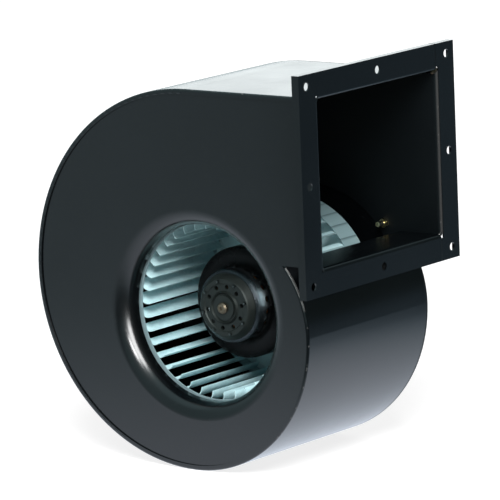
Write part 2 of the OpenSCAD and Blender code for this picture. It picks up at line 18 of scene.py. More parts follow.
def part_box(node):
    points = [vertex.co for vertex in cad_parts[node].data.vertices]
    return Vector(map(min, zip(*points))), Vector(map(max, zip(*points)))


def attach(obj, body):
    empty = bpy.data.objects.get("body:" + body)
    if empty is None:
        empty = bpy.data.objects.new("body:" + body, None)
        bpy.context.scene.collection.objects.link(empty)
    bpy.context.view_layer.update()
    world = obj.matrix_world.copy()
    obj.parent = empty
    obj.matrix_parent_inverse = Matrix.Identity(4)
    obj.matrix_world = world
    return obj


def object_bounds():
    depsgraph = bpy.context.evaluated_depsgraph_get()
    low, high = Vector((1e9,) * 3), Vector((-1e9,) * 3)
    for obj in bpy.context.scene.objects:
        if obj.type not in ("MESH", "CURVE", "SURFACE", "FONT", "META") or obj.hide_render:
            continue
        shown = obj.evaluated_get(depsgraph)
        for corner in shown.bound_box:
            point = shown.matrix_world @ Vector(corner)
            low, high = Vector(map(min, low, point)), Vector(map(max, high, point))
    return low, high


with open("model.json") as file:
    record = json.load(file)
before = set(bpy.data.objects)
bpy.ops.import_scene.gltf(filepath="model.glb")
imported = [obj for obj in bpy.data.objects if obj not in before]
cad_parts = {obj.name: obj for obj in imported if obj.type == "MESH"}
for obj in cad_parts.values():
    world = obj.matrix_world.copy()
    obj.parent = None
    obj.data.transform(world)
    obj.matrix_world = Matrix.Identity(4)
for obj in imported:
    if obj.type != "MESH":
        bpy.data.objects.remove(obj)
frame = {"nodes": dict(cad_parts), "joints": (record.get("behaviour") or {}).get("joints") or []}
nodes = frame["nodes"]
cad_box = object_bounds()
print("nodes:", len(nodes), "box:", [[round(v, 4) for v in corner] for corner in cad_box])

# %% [markdown]
# ## Landmarks
# Everything that is added later has to sit on the solids, so the first step is to read the places that
# matter from the frame: the wheel axis from the joint, the faces of the plates and of the flange from
# the boxes of their nodes. Typing such numbers again by hand would let the dressing drift away from
# the part as soon as one size changes.

# %% Read the landmarks
SHEET = 0.0015

axis_point = Vector(frame["joints"][0]["pos_m"])
wrap_low, wrap_high = (Vector(corner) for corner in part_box("scroll_wrapper"))
hem_face_y = wrap_low.y
duct_low_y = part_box("inlet_side_plate")[0].y
duct_high_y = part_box("motor_side_plate")[1].y
inner_wall_y = duct_high_y - SHEET
mouth_side_y = duct_high_y + SHEET
floor_z = min(corner[2] for corner in cad_box)
print("wheel axis at x %.4f, z %.4f" % (axis_point.x, axis_point.z))
print("hem face at y %.4f, duct from y %.4f to %.4f" % (hem_face_y, duct_low_y, duct_high_y))

# %% [markdown]
# ## Camera
# The photograph was taken with a long lens from the right of the inlet, a little above the wheel. The
# angle, the distance and the point in the middle of the picture were found by matching corners of the
# flange and the outline of the scroll. A camera that is built from azimuth, elevation and roll is easier
# to read than a matrix of nine numbers, so the three axes are worked out here.

# %% Camera at the photograph's angle
CAMERA_AZIMUTH = math.radians(36.99)
CAMERA_ELEVATION = math.radians(10.33)
CAMERA_ROLL = math.radians(-2.29)
CAMERA_DISTANCE = 4.9216
CAMERA_TARGET = Vector((-0.1373, -0.0300, -0.0846))
FRAME_PIXELS = 500
FOCAL_PIXELS = 5092.1
SENSOR_WIDTH = 36.0
FARTHEST_VIEW = 60.0


def heading_of(azimuth, elevation):
    """The direction from the fan to a place at these two angles; azimuth 0 is straight before the inlet."""
    return Vector((math.sin(azimuth) * math.cos(elevation),
                   -math.cos(azimuth) * math.cos(elevation),
                   math.sin(elevation)))


back = heading_of(CAMERA_AZIMUTH, CAMERA_ELEVATION)
level_right = Vector((math.cos(CAMERA_AZIMUTH), math.sin(CAMERA_AZIMUTH), 0.0))
level_up = back.cross(level_right)
right = math.cos(CAMERA_ROLL) * level_right + math.sin(CAMERA_ROLL) * level_up
up = back.cross(right)

camera_data = bpy.data.cameras.new("studio_camera")
camera_data.sensor_fit = "HORIZONTAL"
camera_data.sensor_width = SENSOR_WIDTH
camera_data.lens = FOCAL_PIXELS * SENSOR_WIDTH / FRAME_PIXELS
camera_data.clip_end = FARTHEST_VIEW
camera = bpy.data.objects.new("studio_camera", camera_data)
bpy.context.scene.collection.objects.link(camera)
turn = Matrix((right, up, back)).transposed().to_4x4()
camera.matrix_world = Matrix.Translation(CAMERA_TARGET + CAMERA_DISTANCE * back) @ turn
bpy.context.scene.camera = camera
print("camera at", [round(v, 3) for v in camera.matrix_world.translation], "lens %.1f mm" % camera_data.lens)

# %% [markdown]
# ## Node helpers
# A finish is a small graph of nodes that ends in one Principled shader. The helpers below only add and
# join nodes, so that each finish can be read as a list of what is on the metal: its colour, the cloudiness
# of the colour, the grain of the surface. The floor and the room are graphs too, so the first argument is
# called the owner of the nodes. Patterns read Object coordinates in metres, so 1000 waves mean one wave
# per millimetre. Ranges are pairs of numbers, and most values of a noise lie within NOISE_RANGE.

# %% Helpers that add nodes
FULL_RANGE = (0.0, 1.0)
NOISE_RANGE = (0.3, 0.7)
CLOSE_SHARE = 0.4
RANGE_SOCKETS = ("From Min", "From Max", "To Min", "To Max")


def add(owner, kind, **settings):
    """Adds a node and sets its properties, or its sockets where the name is a socket's."""
    node = owner.node_tree.nodes.new(kind)
    for name, value in settings.items():
        socket = node.inputs.get(name.replace("_", " "))
        if socket is not None:
            socket.default_value = value
        else:
            setattr(node, name, value)
    return node


def join(owner, source, target):
    """Links an output socket to an input socket."""
    owner.node_tree.links.new(source, target)


def reckon(owner, operation, *values):
    """The result of a Math node on one or two values, each a socket or a number."""
    node = add(owner, "ShaderNodeMath", operation=operation)
    for socket, value in zip(node.inputs, values):
        if isinstance(value, float):
            socket.default_value = value
        else:
            join(owner, value, socket)
    return node.outputs[0]


def reckon_vector(owner, operation, vector, constant=None):
    """The result, a number or a vector, of a Vector Math node on a socket and perhaps a constant."""
    node = add(owner, "ShaderNodeVectorMath", operation=operation)
    join(owner, vector, node.inputs[0])
    if constant is not None:
        node.inputs[1].default_value = constant
    gives_number = operation in ("LENGTH", "DISTANCE", "DOT_PRODUCT")
    return node.outputs["Value" if gives_number else "Vector"]


def parts_of(owner, vector):
    """The sockets X, Y and Z of a vector."""
    node = add(owner, "ShaderNodeSeparateXYZ")
    join(owner, vector, node.inputs["Vector"])
    return node.outputs


def spread(owner, value, old_range, new_range, ease="LINEAR"):
    """Maps a value from one range to another and holds it at the ends."""
    node = add(owner, "ShaderNodeMapRange", clamp=True, interpolation_type=ease)
    for socket, number in zip(RANGE_SOCKETS, (*old_range, *new_range)):
        node.inputs[socket].default_value = number
    join(owner, value, node.inputs["Value"])
    return node.outputs["Result"]


def closeness(owner, value, centre, reach):
    """1 where a value is close to a centre, falling evenly to 0 at the reach."""
    gap = reckon(owner, "ABSOLUTE", reckon(owner, "SUBTRACT", value, centre))
    return spread(owner, gap, (CLOSE_SHARE * reach, reach), (1.0, 0.0))


def blend(owner, factor, first, second):
    """Mixes two colours, each a tuple or a socket."""
    node = add(owner, "ShaderNodeMix", data_type="RGBA")
    for socket, colour in ((node.inputs[6], first), (node.inputs[7], second)):
        if isinstance(colour, tuple):
            socket.default_value = (*colour, 1.0)
        else:
            join(owner, colour, socket)
    join(owner, factor, node.inputs[0])
    return node.outputs[2]


# %% Helpers for finishes
EVEN = (1.0, 1.0, 1.0)


def finish(name, **sockets):
    """A new material with a Principled shader whose constant sockets are set directly."""
    material = bpy.data.materials.new(name)
    material.use_nodes = True
    for socket, value in sockets.items():
        shader_of(material).inputs[socket.replace("_", " ")].default_value = value
    return material


def shader_of(material):
    """The Principled shader of a material."""
    return material.node_tree.nodes["Principled BSDF"]


def feed(material, socket, source):
    """Links an output socket to an input of the shader."""
    join(material, source, shader_of(material).inputs[socket])


def metre_coordinates(material, stretch=EVEN):
    """Object coordinates, scaled per axis, so that a pattern can be drawn out along one direction."""
    mapping = add(material, "ShaderNodeMapping", Scale=stretch)
    join(material, add(material, "ShaderNodeTexCoord").outputs["Object"], mapping.inputs["Vector"])
    return mapping.outputs["Vector"]


def about_axis(material):
    """The place relative to the wheel axis, and the distance from that axis."""
    place = add(material, "ShaderNodeTexCoord").outputs["Object"]
    offset = reckon_vector(material, "SUBTRACT", place, axis_point)
    flat = reckon_vector(material, "MULTIPLY", offset, (1.0, 0.0, 1.0))
    return offset, reckon_vector(material, "LENGTH", flat)


def cloud(material, vector, waves, detail=3.0):
    """Noise between 0 and 1 with the given number of waves per metre."""
    noise = add(material, "ShaderNodeTexNoise", Scale=waves, Detail=detail)
    join(material, vector, noise.inputs["Vector"])
    return noise.outputs["Fac"]


def grain(material, heights, normal=None):
    """Chains bumps, each (height socket, strength, depth in metres), into the shader's normal."""
    for height, strength, depth in heights:
        bump = add(material, "ShaderNodeBump", Strength=strength, Distance=depth)
        join(material, height, bump.inputs["Height"])
        if normal is not None:
            join(material, normal, bump.inputs["Normal"])
        normal = bump.outputs["Normal"]
    feed(material, "Normal", normal)


def piece(name):
    """A CAD node or an added piece."""
    return nodes.get(name) or bpy.data.objects[name]


def dress(material, *names):
    """Puts a material on CAD nodes or on pieces, in every slot that they have."""
    for name in names:
        mesh = piece(name).data
        if not mesh.materials:
            mesh.materials.append(material)
        for index in range(len(mesh.materials)):
            mesh.materials[index] = material
    print(material.name, "on", ", ".join(names))


# %% [markdown]
# ## Black housing paint
# The housing is dipped or sprayed in a semi-gloss black that shows almost no colour of its own: what
# the eye sees is the studio mirrored in it, a little cloudy where the sheet is not quite flat. So the base
# is near black with a trace of blue, the roughness wanders, and two bumps do the rest: a fine orange
# peel and a long shallow wave of the sheet. On the folds the paint is thin and rubs through to the steel,
# most of all on the hem at the tongue and under the outlet. A faint lighter line where the far wall turns
# into the flange is partly wear and partly a painted highlight along that fold. On a fold the face turns
# between along and across the wheel axis, so the normal itself marks the place. Inside the far wall the
# paint is only overspray, so it is matt and doesn't mirror the wheel.

# %% Wear and a painted highlight on the folds
BELL_OUTER_R = 0.104
BELL_FADE = 0.004
BEND_RANGE = (0.15, 0.35)
RUB_WAVES = 260.0
RUB_RANGE = (0.60, 0.72)
RUB_WEAR = 0.3
TONGUE = (-0.0345, -0.0995, -0.101)
TONGUE_REACH = 0.026
TONGUE_WEAR = 0.9
# The faint mouth line is partly wear and partly a painted highlight along the fold.
MOUTH_DEPTH = 0.008
MOUTH_SIDE_REACH = 0.012
MOUTH_WEAR_AND_HIGHLIGHT = 0.09


def fold_wear_and_highlight(material, vector):
    """Wear, 0 to 1, on bends beyond the bell: the most of rubs, a bare tongue and a mouth line of wear and
    painted highlight.
    """
    normal = add(material, "ShaderNodeNewGeometry").outputs["True Normal"]
    across = reckon(material, "ABSOLUTE", parts_of(material, normal)["Y"])
    on_bend = spread(material, reckon(material, "PINGPONG", across, 0.5), BEND_RANGE, FULL_RANGE)
    bell_edge = (BELL_OUTER_R, BELL_OUTER_R + BELL_FADE)
    beyond_bell = spread(material, about_axis(material)[1], bell_edge, FULL_RANGE)
    rubs = spread(material, cloud(material, vector, RUB_WAVES, detail=4.0), RUB_RANGE, (0.0, RUB_WEAR))
    from_tongue = reckon_vector(material, "DISTANCE", vector, TONGUE)
    bare = spread(material, from_tongue, (0.5 * TONGUE_REACH, TONGUE_REACH), (TONGUE_WEAR, 0.0))
    place = parts_of(material, vector)
    in_mouth = closeness(material, place["X"], 0.0, MOUTH_DEPTH)
    at_side = closeness(material, place["Y"], mouth_side_y, MOUTH_SIDE_REACH)
    # Painted highlight, partly wear: a faint lighter line of bare steel where the far wall turns into the
    # flange.
    line = spread(material, reckon(material, "MULTIPLY", in_mouth, at_side), FULL_RANGE, (0.0, MOUTH_WEAR_AND_HIGHLIGHT))
    worn_or_highlit = reckon(material, "MAXIMUM", reckon(material, "MAXIMUM", rubs, bare), line)
    return reckon(material, "MULTIPLY", reckon(material, "MULTIPLY", on_bend, beyond_bell), worn_or_highlit)


# %% Housing paint
PAINT_DARK = (0.0010, 0.0014, 0.0018)
PAINT_LIGHT = (0.0022, 0.0030, 0.0036)
DUST = (0.030, 0.034, 0.036)
BARE_STEEL = (0.40, 0.40, 0.39)
CLOUD_WAVES = 9.0
SHEET_WAVES = 7.0
DUST_WAVES = 420.0
DUST_RANGE = (0.66, 0.80)
DUST_MOST = 0.25
PEEL_WAVES = 700.0
SATIN_ROUGHNESS = (0.18, 0.27)
OVERSPRAY_REACH = 0.0012
OVERSPRAY_ROUGHNESS = 0.70

housing_paint = finish("housing_paint")
place = metre_coordinates(housing_paint)
paint_cloud = cloud(housing_paint, place, CLOUD_WAVES, detail=4.0)
cloudy = spread(housing_paint, paint_cloud, NOISE_RANGE, FULL_RANGE)
specks = cloud(housing_paint, place, DUST_WAVES, detail=2.0)
dusty = spread(housing_paint, specks, DUST_RANGE, (0.0, DUST_MOST))
# Wear on the folds, with a painted highlight in the mouth line.
wear_and_highlight = fold_wear_and_highlight(housing_paint, place)
base = blend(housing_paint, cloudy, PAINT_DARK, PAINT_LIGHT)
base = blend(housing_paint, dusty, base, DUST)
feed(housing_paint, "Base Color", blend(housing_paint, wear_and_highlight, base, BARE_STEEL))
feed(housing_paint, "Metallic", wear_and_highlight)
satin = spread(housing_paint, paint_cloud, (0.25, 0.75), SATIN_ROUGHNESS)
overspray = closeness(housing_paint, parts_of(housing_paint, place)["Y"], inner_wall_y, OVERSPRAY_REACH)
matt_inside = spread(housing_paint, overspray, FULL_RANGE, (0.0, OVERSPRAY_ROUGHNESS))
feed(housing_paint, "Roughness", reckon(housing_paint, "MAXIMUM", satin, matt_inside))
wave = cloud(housing_paint, place, SHEET_WAVES, detail=1.0)
peel = cloud(housing_paint, place, PEEL_WAVES, detail=1.0)
grain(housing_paint, [(wave, 0.3, 0.0010), (peel, 0.10, 0.0001)])
dress(housing_paint, "inlet_side_plate", "motor_side_plate", "scroll_wrapper", "motor_plate")
dress(housing_paint, "flange_top_bar", "flange_bottom_bar", "flange_inlet_bar", "flange_motor_bar")

# %% [markdown]
# ## Galvanised wheel
# The wheel's strip is bare zinc-coated sheet. Zinc freezes in flat crystals, the spangle, and each reflects
# a little more or a little less. Voronoi cells give such patches, and fine streaks along the blade come
# from the rolling of the sheet. The zinc looks pale and slightly blue-green beside the black. The bands round
# the outside of the wheel get a painted shade, darker for the shade they lie in inside the housing, with a
# darker painted line in the crease before each blade. The gaps between the blades get painted shade too:
# where the Ambient Occlusion node finds a place hemmed in, the colour darkens. The ring that caps the blade
# ends is duller, which leaves it a thin line round the wheel.

# %% Spangle and pressed bands
BLADE_COUNT = 38
BAND_INNER_R = 0.0928
BAND_FADE = 0.0005
SPANGLE_WAVES = 160.0


def spangle(material):
    """Crystals of zinc: a level from 0 to 1 that is even within each Voronoi cell."""
    cells = add(material, "ShaderNodeTexVoronoi", Scale=SPANGLE_WAVES)
    join(material, metre_coordinates(material), cells.inputs["Vector"])
    return spread(material, cells.outputs["Color"], FULL_RANGE, FULL_RANGE)


def on_bands(material, radius):
    """1 on the outer bands of the wheel, furthest from the axis, and 0 on the blades."""
    return spread(material, radius, (BAND_INNER_R, BAND_INNER_R + BAND_FADE), FULL_RANGE)


def blade_climb(material, from_axis):
    """A height that climbs from 0 to 1 once per blade round the wheel, like sheet pressed over blades."""
    parts = parts_of(material, from_axis)
    angle = reckon(material, "ARCTAN2", parts["Z"], parts["X"])
    return reckon(material, "FRACT", reckon(material, "MULTIPLY", angle, BLADE_COUNT / (2.0 * math.pi)))


# %% Zinc for the strip and the disc
ZINC_DARK = (0.50, 0.73, 0.77)
ZINC_LIGHT = (0.62, 0.87, 0.90)
# The next three tones are painted shade: for the outer bands, the creases on them and the gaps between
# blades.
ZINC_BAND_SHADE = (0.25, 0.37, 0.39)
ZINC_CREASE_SHADE = (0.10, 0.16, 0.17)
ZINC_GAP_SHADE = (0.10, 0.16, 0.18)
ZINC_METALLIC = 0.12
ZINC_ROUGHNESS = (0.34, 0.48)
CREASE_SHADE_RANGE = (0.80, 0.97)
STREAK_WAVES = 900.0
STREAK_STRETCH = (1.0, 0.06, 1.0)
GAP_REACH = 0.016
GAP_RANGE = (0.14, 0.48)

wheel_zinc = finish("wheel_zinc", Metallic=ZINC_METALLIC)
streaks = cloud(wheel_zinc, metre_coordinates(wheel_zinc, STREAK_STRETCH), STREAK_WAVES, detail=2.0)
from_axis, wheel_radius = about_axis(wheel_zinc)
bands = on_bands(wheel_zinc, wheel_radius)
climb = blade_climb(wheel_zinc, from_axis)
# Painted shade: a dark line in the crease before each blade on the outer bands.
crease_shade = spread(wheel_zinc, climb, CREASE_SHADE_RANGE, FULL_RANGE)
# Painted shade: where the Ambient Occlusion node finds a place hemmed in between blades, the colour darkens.
gap_shade_ao = add(wheel_zinc, "ShaderNodeAmbientOcclusion", samples=8, Distance=GAP_REACH)
openness = spread(wheel_zinc, gap_shade_ao.outputs["AO"], GAP_RANGE, FULL_RANGE)
on_blades = blend(wheel_zinc, spangle(wheel_zinc), ZINC_DARK, ZINC_LIGHT)
# Painted shade: the outer bands, which lie in shade inside the housing, take a darker tone.
shaded_bands = blend(wheel_zinc, crease_shade, ZINC_BAND_SHADE, ZINC_CREASE_SHADE)
base = blend(wheel_zinc, bands, on_blades, shaded_bands)
feed(wheel_zinc, "Base Color", blend(wheel_zinc, openness, ZINC_GAP_SHADE, base))
feed(wheel_zinc, "Roughness", spread(wheel_zinc, streaks, NOISE_RANGE, ZINC_ROUGHNESS))
steps = reckon(wheel_zinc, "MULTIPLY", climb, bands)
grain(wheel_zinc, [(steps, 0.6, 0.0015), (streaks, 0.08, 0.0001)])
dress(wheel_zinc, "blade_strip", "wheel_disc", "disc_rivets")

# %% Duller zinc for the front ring
RING_DARK = (0.18, 0.26, 0.28)
RING_LIGHT = (0.24, 0.34, 0.36)
RING_ROUGHNESS = 0.45

ring_zinc = finish("ring_zinc", Metallic=ZINC_METALLIC, Roughness=RING_ROUGHNESS)
feed(ring_zinc, "Base Color", blend(ring_zinc, spangle(ring_zinc), RING_DARK, RING_LIGHT))
dress(ring_zinc, "wheel_front_ring")

# %% [markdown]
# ## Rotor cup
# The rotor cup is deep-drawn steel with a thin coat of dull black, so deep in the wheel it stays dark. Only
# its neck, where the coat is rubbed down to the steel, catches a lamp. A drawn edge is never as tight as the
# solid's: the Bevel node lets the shading turn over several millimetres, which makes the small glint as broad
# as it is on real sheet.

# %% Rotor paint
SOOT_DARK = (0.0010, 0.0011, 0.0013)
SOOT_LIGHT = (0.0022, 0.0025, 0.0028)
RUBBED_STEEL = (0.072, 0.082, 0.090)
PATCH_WAVES = 35.0
COAT_WAVES = 900.0
COAT_ROUGHNESS = (0.22, 0.30)
COAT_SPECULAR = 0.12
DRAWN_EDGE = 0.010
NECK_R = 0.036
NECK_REACH = 0.007
FRONT_REACH = 0.015

neck_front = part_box("rotor_shell")[0].y - axis_point.y
rotor_paint = finish("rotor_paint", Specular_IOR_Level=COAT_SPECULAR)
place = metre_coordinates(rotor_paint)
patch = cloud(rotor_paint, place, PATCH_WAVES)
from_axis, rotor_radius = about_axis(rotor_paint)
near_neck = closeness(rotor_paint, rotor_radius, NECK_R, NECK_REACH)
near_front = closeness(rotor_paint, parts_of(rotor_paint, from_axis)["Y"], neck_front, FRONT_REACH)
rubbed = reckon(rotor_paint, "MULTIPLY", near_neck, near_front)
soot_black = blend(rotor_paint, patch, SOOT_DARK, SOOT_LIGHT)
feed(rotor_paint, "Base Color", blend(rotor_paint, rubbed, soot_black, RUBBED_STEEL))
feed(rotor_paint, "Metallic", rubbed)
feed(rotor_paint, "Roughness", spread(rotor_paint, patch, NOISE_RANGE, COAT_ROUGHNESS))
drawn_edge = add(rotor_paint, "ShaderNodeBevel", samples=6, Radius=DRAWN_EDGE)
coat = cloud(rotor_paint, place, COAT_WAVES, detail=1.0)
grain(rotor_paint, [(coat, 0.15, 0.0001)], drawn_edge.outputs["Normal"])
dress(rotor_paint, "rotor_shell")

# %% [markdown]
# ## Castings
# The end cap of the rotor and the foot of the stator are die cast and left as they came from the mould,
# grey with a green cast, with a skin that is smooth but not even. Two sizes of noise are enough.

# %% Cast metal
CAST_DARK = (0.009, 0.012, 0.011)
CAST_LIGHT = (0.024, 0.031, 0.028)
SKIN_WAVES = 120.0
PORE_WAVES = 1400.0
CAST_METALLIC = 0.6
CAST_ROUGHNESS = (0.42, 0.58)

cast_metal = finish("cast_metal", Metallic=CAST_METALLIC)
place = metre_coordinates(cast_metal)
skin = cloud(cast_metal, place, SKIN_WAVES, detail=4.0)
pores = cloud(cast_metal, place, PORE_WAVES, detail=2.0)
feed(cast_metal, "Base Color", blend(cast_metal, skin, CAST_DARK, CAST_LIGHT))
feed(cast_metal, "Roughness", spread(cast_metal, skin, NOISE_RANGE, CAST_ROUGHNESS))
grain(cast_metal, [(skin, 0.2, 0.0004), (pores, 0.2, 0.0001)])
dress(cast_metal, "rotor_end_cap", "stator_base")

# %% [markdown]
# ## Bright and plated metals
# The small parts are bare or plated: cast aluminium pins, a brass cap, ground steel, and screws with the
# yellow passivation that shimmers between gold and pale green. They share one recipe, a metal
# whose colour is clouded and whose grain is drawn out along the direction it was turned or drawn.

# %% Recipe for bare metal
ALONG_Y = (1.0, 0.1, 1.0)
ROUND_Y = (0.1, 1.0, 0.1)


def bare_metal(name, dark, light, rough, waves, stretch=EVEN):
    """Metal whose colour runs between two tones with a clouded, slightly drawn grain."""
    metal = finish(name, Metallic=1.0)
    vector = metre_coordinates(metal, stretch)
    tone = cloud(metal, vector, waves)
    feed(metal, "Base Color", blend(metal, spread(metal, tone, NOISE_RANGE, FULL_RANGE), dark, light))
    feed(metal, "Roughness", spread(metal, tone, NOISE_RANGE, (rough * 0.8, rough * 1.2)))
    grain(metal, [(cloud(metal, vector, waves * 6.0, detail=2.0), 0.12, 0.0001)])
    return metal


# %% Small metals
pin_metal = bare_metal("pin_metal", (0.06, 0.065, 0.065), (0.14, 0.15, 0.145), rough=0.38, waves=400.0)
cap_brass = bare_metal("cap_brass", (0.115, 0.094, 0.066), (0.205, 0.168, 0.122), rough=0.5, waves=260.0)
ground_steel = bare_metal("ground_steel", (0.46, 0.47, 0.49), (0.62, 0.63, 0.65), rough=0.28, waves=500.0,
                          stretch=ALONG_Y)
yellow_zinc = bare_metal("yellow_zinc", (0.58, 0.47, 0.24), (0.74, 0.67, 0.44), rough=0.3, waves=220.0)
core_sheet = bare_metal("core_sheet", (0.16, 0.17, 0.19), (0.28, 0.29, 0.31), rough=0.5, waves=900.0,
                        stretch=ROUND_Y)
coil_copper = bare_metal("coil_copper", (0.42, 0.17, 0.07), (0.66, 0.32, 0.15), rough=0.35, waves=700.0)
dress(pin_metal, "balance_pins")
dress(cap_brass, "shaft_cap")
dress(ground_steel, "bearing_tube", "bearing_outer_rings", "bearing_inner_rings", "shaft")
dress(ground_steel, "retaining_ring", "rotor_screws")
dress(yellow_zinc, "motor_plate_screws", "motor_plate_nuts", "stator_base_screws")
dress(core_sheet, "stator_core", "rotor_core")
dress(coil_copper, "stator_windings")

# %% [markdown]
# ## Board and rubber
# The slot insulation is pressed board, fibrous and dull. The grommet is black rubber with a faint bloom.
# Both are one noise, which gives the tone and the bump.


# %% Board and rubber
def dull_stuff(name, dark, light, rough, waves, detail, bump):
    """A matt material whose tone and bump follow the same noise."""
    stuff = finish(name, Roughness=rough)
    fleck = cloud(stuff, metre_coordinates(stuff), waves, detail)
    feed(stuff, "Base Color", blend(stuff, fleck, dark, light))
    grain(stuff, [(fleck, bump, 0.0002)])
    return stuff


press_board = dull_stuff("press_board", (0.55, 0.48, 0.33), (0.76, 0.70, 0.55), rough=0.85,
                         waves=900.0, detail=4.0, bump=0.3)
grommet_rubber = dull_stuff("grommet_rubber", (0.010, 0.010, 0.010), (0.035, 0.035, 0.036), rough=0.6,
                            waves=300.0, detail=3.0, bump=0.2)
dress(press_board, "slot_insulation")
dress(grommet_rubber, "cable_grommet")

# %% [markdown]
# ## Surfaces from a grid
# Small pieces are surfaces: a function of two parameters gives the points of a grid, and the grid gives the
# faces. Whole rows of equal pieces are made at once by giving the grid one more dimension in front. Which of
# the two parameters is a row decides the side that a face looks to, so each grid is laid to look outwards.


# %% Grid surfaces
def surface(name, points):
    """A mesh from points of shape (copies, rows, columns, 3), whose quads look along columns cross rows."""
    copies, rows, columns = points.shape[:3]
    index = np.arange(copies * rows * columns).reshape(copies, rows, columns)
    corners = [index[:, :-1, :-1], index[:, :-1, 1:], index[:, 1:, 1:], index[:, 1:, :-1]]
    quads = np.stack(corners, axis=-1).reshape(-1, 4)
    mesh = bpy.data.meshes.new(name)
    mesh.from_pydata(points.reshape(-1, 3).tolist(), [], quads.tolist())
    mesh.polygons.foreach_set("use_smooth", np.ones(len(quads), dtype=bool))
    obj = bpy.data.objects.new(name, mesh)
    bpy.context.scene.collection.objects.link(obj)
    print(name, "has", len(quads), "faces")
    return obj


# %% [markdown]
# ## Clinch marks on the hem
# The wrapper's hem is pressed down on the side plate by a row of clinches: a tool has left a short mark, like
# a pill, every few millimetres. Each mark is a pillow, whose height falls to zero on all four sides, and the
# row follows the two left arcs of the scroll. Their radii come from the box of the wrapper.

# %% Rows of marks
MARK_PITCH = 0.0095
MARK_INSET = 0.0036
SCROLL_SHIFT = 0.005
ROW_TOP = 0.5 * math.pi
ROW_LEFT = math.pi
ROW_END = 1.35 * math.pi

upper_r = axis_point.x - SCROLL_SHIFT - wrap_low.x
upper_centre = Vector((wrap_low.x + upper_r, 0.0, wrap_high.z - upper_r))
lower_r = upper_centre.z - wrap_low.z
lower_centre = Vector((wrap_low.x + lower_r, 0.0, upper_centre.z))


def clinch_row(centre, radius, start, end):
    """Centres and directions of marks at equal steps along an arc of the scroll, between two angles."""
    steps = int((end - start) * radius / MARK_PITCH)
    angle = start + (np.arange(steps) + 0.5) * (end - start) / steps
    outward = np.stack([np.cos(angle), np.zeros(steps), np.sin(angle)], axis=-1)
    along = np.stack([-np.sin(angle), np.zeros(steps), np.cos(angle)], axis=-1)
    middle = np.array([centre.x, hem_face_y, centre.z]) + (radius - MARK_INSET) * outward
    return middle, outward, along


upper_row = clinch_row(upper_centre, upper_r, ROW_TOP, ROW_LEFT)
lower_row = clinch_row(lower_centre, lower_r, ROW_LEFT, ROW_END)
middle, outward, along = (np.concatenate(part)[:, None, None, :] for part in zip(upper_row, lower_row))
print("clinch marks:", len(middle))

# %% Clinch marks
MARK_LENGTH = 0.0055
MARK_WIDTH = 0.0014
MARK_HEIGHT = 0.00025
TOWARDS_INLET = np.array([0.0, -1.0, 0.0])

u = np.linspace(-1.0, 1.0, 13)[None, :, None, None]
v = np.linspace(-1.0, 1.0, 9)[None, None, :, None]
lift = MARK_HEIGHT * (1.0 - u ** 4) * (1.0 - v ** 2) * TOWARDS_INLET
pillow = 0.5 * MARK_LENGTH * u * along + 0.5 * MARK_WIDTH * v * outward + lift
marks = surface("clinch_marks", middle + pillow)
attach(marks, "housing")
dress(housing_paint, "clinch_marks")

# %% [markdown]
# ## Screw threads
# The screws of the motor plate end inside the housing, and one of them shows in the outlet. A thread is a
# ridge that climbs one pitch per turn: the angle is one parameter of the grid, the place across the ridge
# the other. The places of the screws are the middles of their nuts, which are told apart by their angle
# round the wheel axis. The rolled ridge is bright, because the plating is thinnest there.

# %% Places of the screws
SCREW_COUNT = 6
FIRST_SCREW = math.radians(37.0)
SCREW_STEP = 2.0 * math.pi / SCREW_COUNT

nut_vertices = nodes["motor_plate_nuts"].data.vertices
nut_points = np.empty(len(nut_vertices) * 3)
nut_vertices.foreach_get("co", nut_points)
nut_points = nut_points.reshape(-1, 3)
nut_angle = np.arctan2(nut_points[:, 2] - axis_point.z, nut_points[:, 0] - axis_point.x)
sector = np.round((nut_angle - FIRST_SCREW) / SCREW_STEP).astype(int) % SCREW_COUNT
nut_sets = [nut_points[sector == k] for k in range(SCREW_COUNT)]
nut_middle = np.array([(points.min(axis=0) + points.max(axis=0)) / 2.0 for points in nut_sets])
screw_axis = nut_middle * np.array([1.0, 0.0, 1.0])
print("screws at x", np.round(screw_axis[:, 0], 4), "z", np.round(screw_axis[:, 2], 4))

# %% Threads on the motor plate screws
SCREW_R = 0.0025
THREAD_PITCH = 0.0008
THREAD_CREST = 0.0001
SEGMENTS_PER_TURN = 20

screw_tip_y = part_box("motor_plate_screws")[0].y
nut_face_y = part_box("motor_plate_nuts")[0].y
thread_turns = (nut_face_y - screw_tip_y) / THREAD_PITCH - 1.0
turns = np.linspace(0.0, thread_turns, int(thread_turns * SEGMENTS_PER_TURN))[None, :, None]
across = np.linspace(-0.5, 0.5, 5)[None, None, :]
ridge_r = SCREW_R + THREAD_CREST * (1.0 - 2.0 * np.abs(across))
spiral = np.stack([ridge_r * np.cos(2.0 * math.pi * turns),
                   screw_tip_y + THREAD_PITCH * (turns + across + 0.5),
                   ridge_r * np.sin(2.0 * math.pi * turns)], axis=-1)
threads = surface("screw_threads", screw_axis[:, None, None, :] + spiral)
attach(threads, "housing")
dress(ground_steel, "screw_threads")

# %% [markdown]
# ## Welds in the flange corners
# Where the strips of the flange meet, the corner of the duct is closed with a blob of weld. One of them, at
# the top on the motor side, is larger and rusty; the others are small and painted over. A blob is a ball
# whose radius wavers with both angles. A grid leaves the ball open along one line, so that seam is merged.


# %% Closed balls
SEAM_WIDTH = 1e-7


def close_seams(obj):
    """Merges points that lie on each other, which closes the seam and the two poles of a ball."""
    balls = bmesh.new()
    balls.from_mesh(obj.data)
    bmesh.ops.remove_doubles(balls, verts=balls.verts, dist=SEAM_WIDTH)
    balls.to_mesh(obj.data)
    balls.free()
    print(obj.name, "has", len(obj.data.vertices), "points after its seams are closed")


# %% Corner welds
PAINTED_SIZE = (0.0011, 0.0018, 0.0018)
RUSTY_SIZE = (0.0020, 0.0065, 0.0032)
WELD_SINK = 1.3
LOBE_HEIGHT = 0.16
RIPPLE_HEIGHT = 0.08
RUST_DARK = (0.030, 0.020, 0.014)
RUST_LIGHT = (0.20, 0.145, 0.095)

